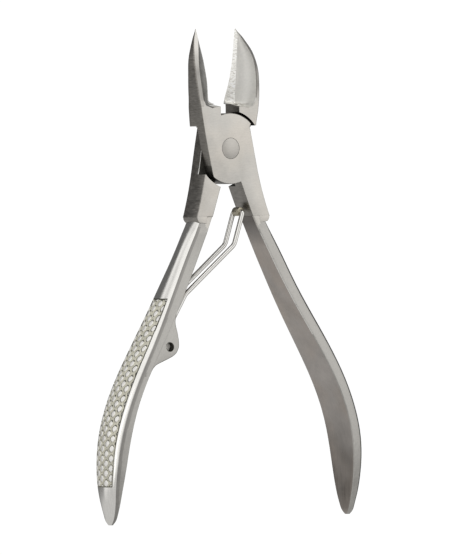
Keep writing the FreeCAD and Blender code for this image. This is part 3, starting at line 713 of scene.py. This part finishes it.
def handle_tag(four, z, i, x, table):
    """A face's tag from the tags of its four corners."""
    # the painted highlight breaks up along the length
    if "crease_highlight" in four and math.sin(z * 5.3) + math.sin(z * 2.1) > -1.75:
        return "crease_highlight"
    if four.count("pip") >= 2:
        return "pip"
    # the painted shadow is lighter below about z -71
    if four.count("rim") >= 2:
        return "rim_low" if z < -71.0 + 3.0 * math.sin(i * 12.9) else "rim"
    if "etch" in four or "rim" in four:
        return "etch"
    for tag in ("dark", "crown"):
        if four.count(tag) >= 2:
            return tag
    if "shade" in four:
        return "shade"
    if "side" not in four:
        return "inner"
    if z > -20.8:
        # the joint's face finish runs down to a slanting curve
        inner_x, _, depth, _ = table(z)
        if z > -17.0 - 3.4 * (1 - (x - inner_x) / depth) ** 1.2:
            return "face"
    return "side"


def handle(name, table, left=False):
    rows = [handle_row(z, table, left) for z in HANDLE_ROWS]
    n = len(rows[0][0])
    verts = [(x, y, z) for z, (points, _) in zip(HANDLE_ROWS, rows) for x, y in points]
    slots = {tag: i for i, tag in enumerate(HANDLE_MATS)}
    indices = []
    for r in range(len(rows) - 1):
        upper, lower = rows[r][1], rows[r + 1][1]
        for i in range(n):
            j = (i + 1) % n
            four = [upper[i], upper[j], lower[i], lower[j]]
            tag = handle_tag(four, HANDLE_ROWS[r], i, verts[r * n + i][0], table)
            indices.append(slots[tag])
    indices += [slots["inner"], slots["crown"]]
    faces = loft_quads(len(rows), n) + loft_caps(len(rows), n)
    return new_object(name, verts, faces, list(HANDLE_MATS.values()), indices, angle=48)


# ---------------------------------------------------------------- jaw, modelled at +x
JAW_WALL = 2.8                   # inner x of the jaw's foot
FOOT_TOP = 11.1                  # above this the inner face follows the opening angle
JAW_FRONT = -LAP - 0.002
BEVEL_ANGLE = math.radians(40)
BEVEL_STEPS, HOLLOW_STEPS, LAND_STEPS, OUTER_STEPS, BACK_STEPS = 9, 25, 5, 6, 14
JAW_ROWS = (list(np.arange(5.3, 9.5, 0.25)) + list(np.arange(9.5, 11.05, 0.06))
            + [11.06, 11.12] + list(np.arange(11.2, 29.4, 0.2))
            + [29.5, 29.65, 29.8, 29.92, 30.0])
# x and z along the hollow's lower end: a shallow bowl that climbs towards the outer land
SCOOP_X = (2.0, 2.8, 4.3, 5.9, 6.6, 7.1, 7.7, 9.0)
SCOOP_Z = (10.6, 10.5, 10.3, 10.05, 10.25, 10.7, 11.7, 13.5)


def scoop_foot(x):
    return float(np.interp(x, SCOOP_X, SCOOP_Z))


def unit(v):
    return v / max(np.linalg.norm(v), 1e-6)


def corner_curve(start, corner, end):
    return [tuple((1 - s) ** 2 * start + 2 * s * (1 - s) * corner + s * s * end)
            for s in (0.0, 0.25, 0.5, 0.75, 1.0)]


def shallow(x, y, z):
    """Brings the hollow up to the front plane at its lower end."""
    if z > 15.0:
        return x, y
    k = min(max((z - scoop_foot(x)) / 1.5, 0.0), 1.0)
    return x, JAW_FRONT + (y - JAW_FRONT) * math.sin(k * math.pi / 2) ** 0.85


def jaw_row(z):
    """One section: bevel, hollow, land, outer side, back."""
    edge_y, bevel, land_x, land_y, front_x, front_y, back_x, back_y = jaw_at(z)
    inner_x = JAW_WALL if z < FOOT_TOP else z * math.tan(HALF_OPENING) + 0.015
    bevel_x = inner_x + bevel * math.sin(BEVEL_ANGLE)
    bevel_y = edge_y - bevel * math.cos(BEVEL_ANGLE)
    chord = math.hypot(land_x - bevel_x, land_y - bevel_y)
    normal_x, normal_y = -(land_y - bevel_y) / chord, (land_x - bevel_x) / chord
    deep = 0.9 * min(1.0, chord / 5.0)

    points = [(inner_x, edge_y)]
    tags = ["side" if z < FOOT_TOP else "bevel"]
    for k in range(BEVEL_STEPS):
        s = k / BEVEL_STEPS
        x = inner_x + (bevel_x - inner_x) * s + (1e-4 if k == 0 else 0)
        points.append(shallow(x, edge_y + (bevel_y - edge_y) * s, z))
        tags.append("bevel" if z > scoop_foot(inner_x + 0.5) + 0.1 else "land")
    for k in range(HOLLOW_STEPS):
        s = k / HOLLOW_STEPS
        d = deep * 4 * s * (1 - s)
        point = shallow(bevel_x + (land_x - bevel_x) * s + normal_x * d,
                        bevel_y + (land_y - bevel_y) * s + normal_y * d, z)
        points.append(point)
        tags.append("hollow" if z > scoop_foot(point[0]) - 0.03 else "land")
    for k in range(LAND_STEPS):
        s = k / LAND_STEPS
        points.append((land_x + (front_x - land_x) * s, land_y + (front_y - land_y) * s))
        tags.append("land")

    front, back = np.array([front_x, front_y]), np.array([back_x, back_y])
    along_land = unit(front - np.array([land_x, land_y]))
    along_side = unit(back - front)
    along_back = unit(np.array([inner_x, edge_y]) - back)
    side_length = math.hypot(back_x - front_x, back_y - front_y)
    land_length = math.hypot(front_x - land_x, front_y - land_y)
    front_r = min(0.22, side_length * 0.2, land_length * 0.4)
    back_r = min(0.45, side_length * 0.3)
    side_start, side_end = front + along_side * front_r, back - along_side * back_r
    outer = corner_curve(front - along_land * front_r, front, side_start)
    for k in range(1, OUTER_STEPS):
        s = k / OUTER_STEPS
        outer.append(tuple(side_start * (1 - s) + side_end * s))
    outer += corner_curve(side_end, back, back + along_back * back_r)

    bulge = 0.35 * min(1.0, (back_x - inner_x) / 4.0)
    if z < 10.2:
        bulge = 0.02 + 0.33 * max(0.0, (z - 9.0) / 1.2)
    rear = []
    for k in range(1, BACK_STEPS):
        s = k / BACK_STEPS
        y = back_y + (edge_y - back_y) * s + bulge * 4 * s * (1 - s)
        rear.append((back_x + (inner_x - back_x) * s, min(y, 3.15 if z > 11 else LAP)))
    points += outer + rear
    tags += ["side"] * len(outer) + ["face"] * len(rear)
    return [(x, max(y, JAW_FRONT)) for x, y in points], tags


def jaw(name, disc_in_front, hollow_mat):
    """The half of the foot that meets the other lever's disc is cut back."""
    mats = {"bevel": BEVEL_MAT, "hollow": hollow_mat, "land": LAND_MAT, "side": SIDE_MAT,
            "face": FACE_MAT}
    slots = {tag: i for i, tag in enumerate(mats)}
    rows = [jaw_row(z) for z in JAW_ROWS]
    n = len(rows[0][0])
    verts = [(x, y, z) for z, (points, _) in zip(JAW_ROWS, rows) for x, y in points]
    indices = []
    for z, (_, tags) in list(zip(JAW_ROWS, rows))[:-1]:
        for i, tag in enumerate(tags):
            if tag == "hollow" and tags[(i + 1) % n] == "land" and z > 12.5:
                tag = "side"
            elif tag == "land" and z < 12.0:
                tag = "face"
            indices.append(slots[tag])
    indices += [slots["land"], slots["side"]]
    faces = loft_quads(len(rows), n) + loft_caps(len(rows), n)
    ob = new_object(name, verts, faces, list(mats.values()), indices)
    y0, y1 = (-GAP, FAR) if disc_in_front else (-FAR, GAP)
    # the cut shoulder walls take the painted shade
    cut(ob, drum_cutter(SHOULDER_R, y0, y1, PAINTED_SHADE_MAT, 240))
    foot = [(-1, -1), (20, -1), (20, 5.62), (-1, 5.62)]
    cut(ob, block_cutter(foot, y0, y1, PAINTED_SHADE_MAT))
    shade(ob, 28)
    return ob


# ---------------------------------------------------------------- lap plate and neck
def plate_outline(neck_in):
    wall = 2.9  # the disc's rim ends this far left of the axis
    wall_angle = math.degrees(math.atan2(math.sqrt(DISC_R ** 2 - wall ** 2), -wall))
    low_disc = disc_arc(LOW_DISC_R, -126.5, -70.8, 40)
    low_x, low_z = low_disc[-1]
    outer_x = 11.6 - NECK_OUTER_SHARE * neck_in
    hip = (8.1 - 0.22 * neck_in, -5.4)
    points = arc3((-8.86, 10.75), (-7.4, 2.1), (-5.6, -6.4), 40) + low_disc
    points += arc3((low_x + 0.15, low_z - 0.35), (4.62 - 0.36 * neck_in, -12.7),
                   (6.44 - neck_in, -17.0), 16)
    points += arc3((outer_x, -17.0), (9.72 - 0.78 * neck_in, -11.6), hip, 20)
    points += arc3(hip, (6.98, 0.2), (5.95, 5.4), 20)[1:]
    points += disc_arc(DISC_R, 44.0, wall_angle, 40)
    points.append((-wall, 9.6))
    for k in range(1, 8):
        s = k / 8.0
        points.append((-wall + (-6.8 + wall) * s, 9.75 + s - 0.18 * math.sin(math.pi * s)))
    points.append((-6.8, 10.75))
    return points


def lap_plate(name, neck_in=0.0):
    """Disc and neck in one plate, cut to half thickness where the other lever laps it."""
    ob = prism(name, plate_outline(neck_in), -LAP, NECK_BACK,
               [FACE_MAT, SIDE_MAT, NECK_MAT, PAINTED_SHADE_MAT], 0.13, 0.16)
    for face in ob.data.polygons:
        x, z = face.center.x / MM, face.center.z / MM
        if face.material_index == 1 and z < -9.0:
            face.material_index = 2
        # painted shade: the left wall below z -4.2 is darkened where it lies in shadow above the
        # other neck
        elif face.material_index == 1 and x < 0 and z < -4.2:
            face.material_index = 3
    upper = [(-30, -6.4), (30, -6.4), (30, 40), (-30, 40)]
    lower_left = [(-30, -9.4), (3.2, -9.4), (3.2, 30), (-30, 30)]
    # the lap faces take the painted shade
    for outline in (upper, lower_left):
        cut(ob, block_cutter(outline, -GAP, FAR, LAP_SHADE_MAT))
    cut(ob, drum_cutter(CLEAR_R, -GAP, FAR, LAP_SHADE_MAT, 240))
    return ob


def drill_rivet_hole(plate, play):
    cut(plate, drum_cutter(RIVET_R + play, -9, 9, LAP_SHADE_MAT, 128))
    shade(plate, 30)


def step_block(name, neck_in=0.0):
    """Small step on the outer side where the neck meets the handle."""
    outline = [(8.4, -16.6), (11.2, -16.6), (11.52, -17.0), (11.42, -17.5), (11.2, -17.95),
               (10.85, -18.35), (8.6, -18.6)]
    outline = [(x - NECK_OUTER_SHARE * neck_in, z) for x, z in outline]
    return prism(name, outline, -LAP + 0.004, NECK_BACK - 0.004, [FACE_MAT, NECK_MAT],
                 0.06, 0.06)


# ---------------------------------------------------------------- levers
# x, z down the ear on the left handle's inner side
EAR = [(-18.0, -40.8), (-18.4, -42.0), (-18.55, -43.0), (-18.45, -44.0), (-18.2, -45.1),
       (-18.0, -46.4), (-17.9, -47.4), (-17.87, -48.3), (-18.05, -49.3), (-18.75, -50.5),
       (-19.8, -51.3), (-21.3, -51.95), (-23.4, -52.75), (-24.8, -53.3), (-25.7, -53.95),
       (-26.4, -54.8), (-27.2, -56.2)]
# x, z round a thin bright sliver on the lap face's left edge: a painted highlight for the gleam in
# the lap's gap
LAP_HIGHLIGHT = [(-7.02, -0.4), (-7.3, -2.2), (-7.62, -4.0), (-7.95, -5.6), (-8.12, -6.3),
        (-7.9, -6.35), (-7.72, -5.6), (-7.4, -4.0), (-7.1, -2.2), (-6.9, -0.4)]


def front_lever():
    plate = lap_plate("a_plate")
    drill_rivet_hole(plate, play=0.05)
    # the left jaw's hollow takes the painted shade
    left_jaw = mirror_x(jaw("a_jaw", True, HOLLOW_SHADE_MAT))
    parts = [plate, left_jaw, handle("a_handle", right_at), step_block("a_step")]
    place(join("front_lever_shell", parts), "front_lever_body", "front_lever")


def ear_block():
    outline = smooth_open(EAR) + [(-28.8, -56.2), (-20.2, -40.8)]
    return prism("b_ear", outline, -EAR_HALF, EAR_HALF, [HANDLE_MAT, HANDLE_MAT], 0.2, 0.2)


def cut_spring_slot(ob):
    """A channel up the handle's inner side, a round seat for the loops and an open mouth."""
    def inner_x(z):
        return -float(left_at(z)[0])
    top, bottom = -25.5, -47.5
    channel = [(inner_x(top), top)]
    channel += [(inner_x(z) - 2.8, z)
                for z in (-31.5, -34.0, -37.0, -40.0, -43.0, -46.0, bottom)]
    channel += [(inner_x(bottom) + 9, bottom), (inner_x(top) + 9, top)]
    mouth = [(PIN_X - 1.5, -46.5), (PIN_X + 0.6, -52.5), (PIN_X + 8, -50.5),
             (PIN_X + 8, -40.0), (PIN_X, -40.0)]
    # slightly different widths keep the cut faces from coinciding
    seat_half, mouth_half = SLOT_HALF + 0.006, SLOT_HALF + 0.012
    cut(ob, block_cutter(channel, -SLOT_HALF, SLOT_HALF, SLOT_MAT))
    cut(ob, drum_cutter(2.95, -seat_half, seat_half, SLOT_MAT, 96, PIN_X, PIN_Z))
    cut(ob, block_cutter(mouth, -mouth_half, mouth_half, SLOT_MAT))


def follow_width(ob):
    """Moves the ear's flat outer faces to the handle's side faces, once the holes are cut."""
    for v in ob.data.vertices:
        z, y = v.co.z / MM, v.co.y / MM
        if abs(y) > 3.5:
            half = float(left_at(z)[1]) - 0.005 - (EAR_HALF - abs(y))
            v.co.y = math.copysign(half, y) * MM
    with editing(ob.data) as bm:
        bmesh.ops.triangulate(bm, faces=[f for f in bm.faces if len(f.verts) > 4])


def rear_lever():
    plate = turn_z(lap_plate("b_plate", NECK_IN))
    drill_rivet_hole(plate, play=0.01)
    right_jaw = jaw("b_jaw", False, HOLLOW_MAT)
    left_handle = mirror_x(handle("b_handle", left_at, left=True))
    ear = ear_block()
    cut_spring_slot(ear)
    cut_spring_slot(left_handle)
    cut(ear, drum_cutter(1.2, -9, 9, LAP_SHADE_MAT, 96, PIN_X, PIN_Z))
    follow_width(ear)
    shade(ear, 35)
    shade(left_handle, 50)
    step = turn_z(step_block("b_step", NECK_IN))
    # painted highlight: a thin near-white sliver on the lap face
    lap_highlight = prism("b_lap_highlight", LAP_HIGHLIGHT, -GAP - 0.06, 0.3, [PIP_MAT, PIP_MAT])
    parts = [plate, right_jaw, left_handle, ear, step, lap_highlight]
    place(join("rear_lever_shell", parts), "rear_lever_body", "rear_lever")


# ---------------------------------------------------------------- turned parts
def pivot_rivet():
    profile = [(0, -LAP - 0.015), (RIVET_R - 0.12, -LAP - 0.015),
               (RIVET_R - 0.03, -LAP + 0.02), (RIVET_R, -LAP + 0.09)]
    rivet = turned("pivot_rivet_shell", profile, 0, 0, RIVET_MAT, 128)
    place(rivet, "rear_lever_body", "pivot_rivet")


def spring_pin():
    end = -PIN_HALF_LENGTH
    profile = [(0, end), (0.85, end), (1.08, end + 0.1), (PIN_R, end + 0.3)]
    pin = turned("spring_pin_shell", profile, PIN_X, PIN_Z, PIN_LIT_MAT, 64)
    place(pin, "rear_lever_body", "spring_pin")


def spring_roller():
    end, edge = -ROLLER_HALF, 0.04
    profile = [(ROLLER_BORE, end), (ROLLER_R - ROLLER_CHAMFER, end),
               (ROLLER_R - edge, end + edge), (ROLLER_R, end + ROLLER_CHAMFER)]
    roller = turned("spring_roller_shell", profile, *ROLLER, ROLLER_MAT, 64)
    place(roller, "roller_body", "spring_roller")


# ---------------------------------------------------------------- spring wire
ARM_HALF = 2.0   # half spacing of the arm's two legs
ARM_LINE = [(-18.2, -42.9), (-13.9, -36.15), (1.2, -24.1), ROLLER]  # x, z of the bends
ARM_RADII = [5.0, 2.2, 3.0, 0.7]
COIL_HALF = 0.64  # half spacing of the coil's two legs
COIL_LEAN, COIL_LEG = math.radians(31.0), 10.5


def rounded(points, radii, steps=14):
    """A path with its corners turned into arcs."""
    points = [np.array(p, float) for p in points]
    out = [points[0]]
    for a, b, c, radius in zip(points, points[1:], points[2:], radii):
        u, v = (a - b) / np.linalg.norm(a - b), (c - b) / np.linalg.norm(c - b)
        angle = math.acos(max(-1, min(1, float(np.dot(u, v)))))
        reach = radius / math.tan(angle / 2)
        centre = b + (u + v) / np.linalg.norm(u + v) * radius / math.sin(angle / 2)
        start, end = b + u * reach - centre, b + v * reach - centre
        total = math.acos(max(-1, min(1, float(np.dot(start, end)) / radius ** 2)))
        for k in range(steps + 1):
            s = k / steps
            out.append(centre + (math.sin((1 - s) * total) * start
                                 + math.sin(s * total) * end) / math.sin(total))
    out.append(points[-1])
    path = [out[0]]
    for p in out[1:]:
        if np.linalg.norm(p - path[-1]) > 0.02:
            path.append(p)
    return path


def loop(y, start, end, steps=90):
    """Wire round the pin, angles in degrees."""
    angles = [math.radians(start + (end - start) * k / steps) for k in range(steps + 1)]
    return [np.array((PIN_X + LOOP_R * math.cos(a), y, PIN_Z + LOOP_R * math.sin(a)))
            for a in angles]


def spring_arm():
    dx, dz = ARM_LINE[0][0] - PIN_X, ARM_LINE[0][1] - PIN_Z
    # where the leg leaves the loop
    leave = math.degrees(math.atan2(dz, dx) - math.acos(LOOP_R / math.hypot(dx, dz)))
    line = [(PIN_X + LOOP_R * math.cos(math.radians(leave)),
             PIN_Z + LOOP_R * math.sin(math.radians(leave)))] + ARM_LINE
    corners = [(x, -ARM_HALF, z) for x, z in line] + [(x, ARM_HALF, z) for x, z in line[::-1]]
    legs = rounded(corners, ARM_RADII + ARM_RADII[::-1])
    path = loop(-ARM_HALF, leave - LOOP_TURN, leave)[:-1] + legs
    path += loop(ARM_HALF, leave, leave - LOOP_TURN)[1:]
    place(wire("spring_arm_wire", path), "spring_arm_body", "spring_arm")


def spring_coil():
    lean_x, lean_z = math.sin(COIL_LEAN), math.cos(COIL_LEAN)
    leave_x, leave_z = PIN_X - LOOP_R * lean_z, PIN_Z + LOOP_R * lean_x
    leave = math.degrees(math.atan2(leave_z - PIN_Z, leave_x - PIN_X))
    end_x, end_z = leave_x + lean_x * COIL_LEG, leave_z + lean_z * COIL_LEG
    bend = []
    for k in range(17):
        a = math.pi * k / 16
        out = COIL_HALF * math.sin(a)
        bend.append(np.array((end_x + lean_x * out, -COIL_HALF * math.cos(a),
                              end_z + lean_z * out)))
    path = loop(-COIL_HALF, leave + LOOP_TURN, leave) + bend
    path += loop(COIL_HALF, leave, leave + LOOP_TURN)
    place(wire("spring_coil_wire", path), "rear_lever_body", "spring_coil")


# ---------------------------------------------------------------- floor, light, camera, metres
VIEW_AZIMUTH, VIEW_ELEVATION = math.radians(35.0), math.radians(1.0)
VIEW_ROLL = math.radians(-0.95)
VIEW_DISTANCE, VIEW_HEIGHT = 2.17, 0.13875  # camera to target, height framed there
VIEW_TARGET = Vector((-0.00017, -0.003, -0.03225))
SENSOR_HEIGHT = 24
FLOOR_Z = -0.1010
FLOOR_START, FLOOR_BEND, FLOOR_BEND_R = -5.0, 4.0, 0.5  # along the view
FLOOR_TOP, FLOOR_HALF_WIDTH = 3.6, 5.0
LIGHT_TARGET = Vector((0, 0, -0.03))
# name, location, width, height, radiance
LIGHTS = [("key_front_right", (0.95, -1.2, 0.35), 0.7, 1.1, 0.35),
          ("strip_left", (-1.1, -0.75, 0.15), 0.22, 1.2, 0.6),
          ("top", (0.0, -0.3, 1.3), 0.9, 0.9, 0.5)]


def floor_material():
    mat = bpy.data.materials.new("floor_white")
    mat.use_nodes = True
    inputs = mat.node_tree.nodes["Principled BSDF"].inputs
    inputs["Base Color"].default_value = (0.12, 0.12, 0.12, 1)
    inputs["Roughness"].default_value = 0.95
    inputs["Emission Color"].default_value = (1, 1, 1, 1)
    inputs["Emission Strength"].default_value = 0.93
    return mat


def sweep_floor():
    """A pale floor that curves up behind the tool; reflections see the world instead."""
    back = Vector((math.sin(VIEW_AZIMUTH), math.cos(VIEW_AZIMUTH), 0))
    right = Vector((back.y, -back.x, 0))
    profile = [(FLOOR_START, FLOOR_Z), (FLOOR_BEND, FLOOR_Z)]
    for k in range(1, 17):
        a = math.pi / 2 * k / 16
        profile.append((FLOOR_BEND + FLOOR_BEND_R * math.sin(a),
                        FLOOR_Z + FLOOR_BEND_R * (1 - math.cos(a))))
    profile.append((FLOOR_BEND + FLOOR_BEND_R, FLOOR_TOP))
    verts = [tuple(back * d + right * s + Vector((0, 0, z)))
             for d, z in profile for s in (-FLOOR_HALF_WIDTH, FLOOR_HALF_WIDTH)]
    faces = [[2 * i, 2 * i + 1, 2 * i + 3, 2 * i + 2] for i in range(len(profile) - 1)]
    mesh = bpy.data.meshes.new("floor_sweep")
    mesh.from_pydata(verts, [], faces)
    mesh.materials.append(floor_material())
    mesh.polygons.foreach_set("use_smooth", [True] * len(mesh.polygons))
    ob = link("floor_sweep", mesh)
    ob.visible_glossy = False
    ob.visible_diffuse = False


def studio_world():
    """Bright round the front, dim behind and at the right, grey below."""
    world = bpy.data.worlds.new("studio")
    bpy.context.scene.world = world
    world.use_nodes = True
    graph = Graph(world.node_tree, "SMOOTHSTEP")
    remap, calc = graph.remap, graph.math
    coords = graph.add("ShaderNodeTexCoord").outputs["Generated"]
    x, y, z = graph.add("ShaderNodeSeparateXYZ", Vector=coords).outputs
    glow = remap(y, span=(0.52, 0.72), to=(0.94, 0.13))
    # a band at half brightness, straight in front
    band_left = remap(x, span=(-0.42, 0.02), to=(1.0, 0.50))
    band_right = remap(x, span=(0.10, 0.48), to=(0.50, 1.0))
    in_front = remap(y, span=(-0.85, -0.45), to=(1.0, 0.0))
    band = calc("MAXIMUM", band_left, band_right)
    band = calc("SUBTRACT", 1.0, calc("MULTIPLY", in_front, calc("SUBTRACT", 1.0, band)))
    glow = calc("MULTIPLY", glow, band)
    right_dark = calc("MULTIPLY", remap(x, span=(0.45, 0.85), to=(0.0, 0.78)),
                      remap(y, span=(-0.45, -0.05), to=(0.0, 1.0)))
    sky = calc("MULTIPLY", glow, calc("SUBTRACT", 1.0, right_dark))
    # darker high up behind, except at the right
    high_back = calc("MULTIPLY", remap(z, span=(0.60, 0.80), to=(0.0, 0.8)),
                     remap(y, span=(0.0, 0.3), to=(0.0, 1.0)))
    high_back = calc("MULTIPLY", high_back, remap(x, span=(0.1, 0.4), to=(1.0, 0.0)))
    sky = calc("MULTIPLY", sky, calc("SUBTRACT", 1.0, high_back))
    down = remap(z, span=(-0.03, -0.25), to=(0.0, 1.0))
    ground_level = 0.54
    level = calc("ADD", calc("MULTIPLY", sky, calc("SUBTRACT", 1.0, down)),
                 calc("MULTIPLY", ground_level, down))
    background = world.node_tree.nodes["Background"]
    graph.put(background.inputs["Strength"], level)
    background.inputs["Color"].default_value = (1, 0.995, 0.985, 1)


def area_light(name, location, width, height, radiance):
    light = bpy.data.lights.new(name, "AREA")
    light.shape, light.size, light.size_y = "RECTANGLE", width, height
    light.energy = radiance * math.pi * width * height
    ob = link(name, light)
    ob.location = location
    ob.rotation_euler = (LIGHT_TARGET - Vector(location)).to_track_quat("-Z", "Y").to_euler()


def add_camera():
    camera = bpy.data.cameras.new("camera")
    camera.sensor_fit = "VERTICAL"
    camera.sensor_height = SENSOR_HEIGHT
    camera.lens = SENSOR_HEIGHT * VIEW_DISTANCE / VIEW_HEIGHT
    camera.clip_start, camera.clip_end = 0.05, 20
    ob = link("camera", camera)
    direction = Vector((-math.sin(VIEW_AZIMUTH) * math.cos(VIEW_ELEVATION),
                        -math.cos(VIEW_AZIMUTH) * math.cos(VIEW_ELEVATION),
                        math.sin(VIEW_ELEVATION)))
    ob.location = VIEW_TARGET + direction * VIEW_DISTANCE
    ob.rotation_mode = "QUATERNION"
    aim = (-direction).to_track_quat("-Z", "Y")
    ob.rotation_quaternion = Quaternion(direction, VIEW_ROLL) @ aim
    bpy.context.scene.camera = ob


front_lever()
rear_lever()
pivot_rivet()
spring_pin()
spring_arm()
spring_coil()
spring_roller()
sweep_floor()
studio_world()
for entry in LIGHTS:
    area_light(*entry)
add_camera()
bpy.context.scene.view_settings.view_transform = "Standard"

bpy.context.view_layer.update()
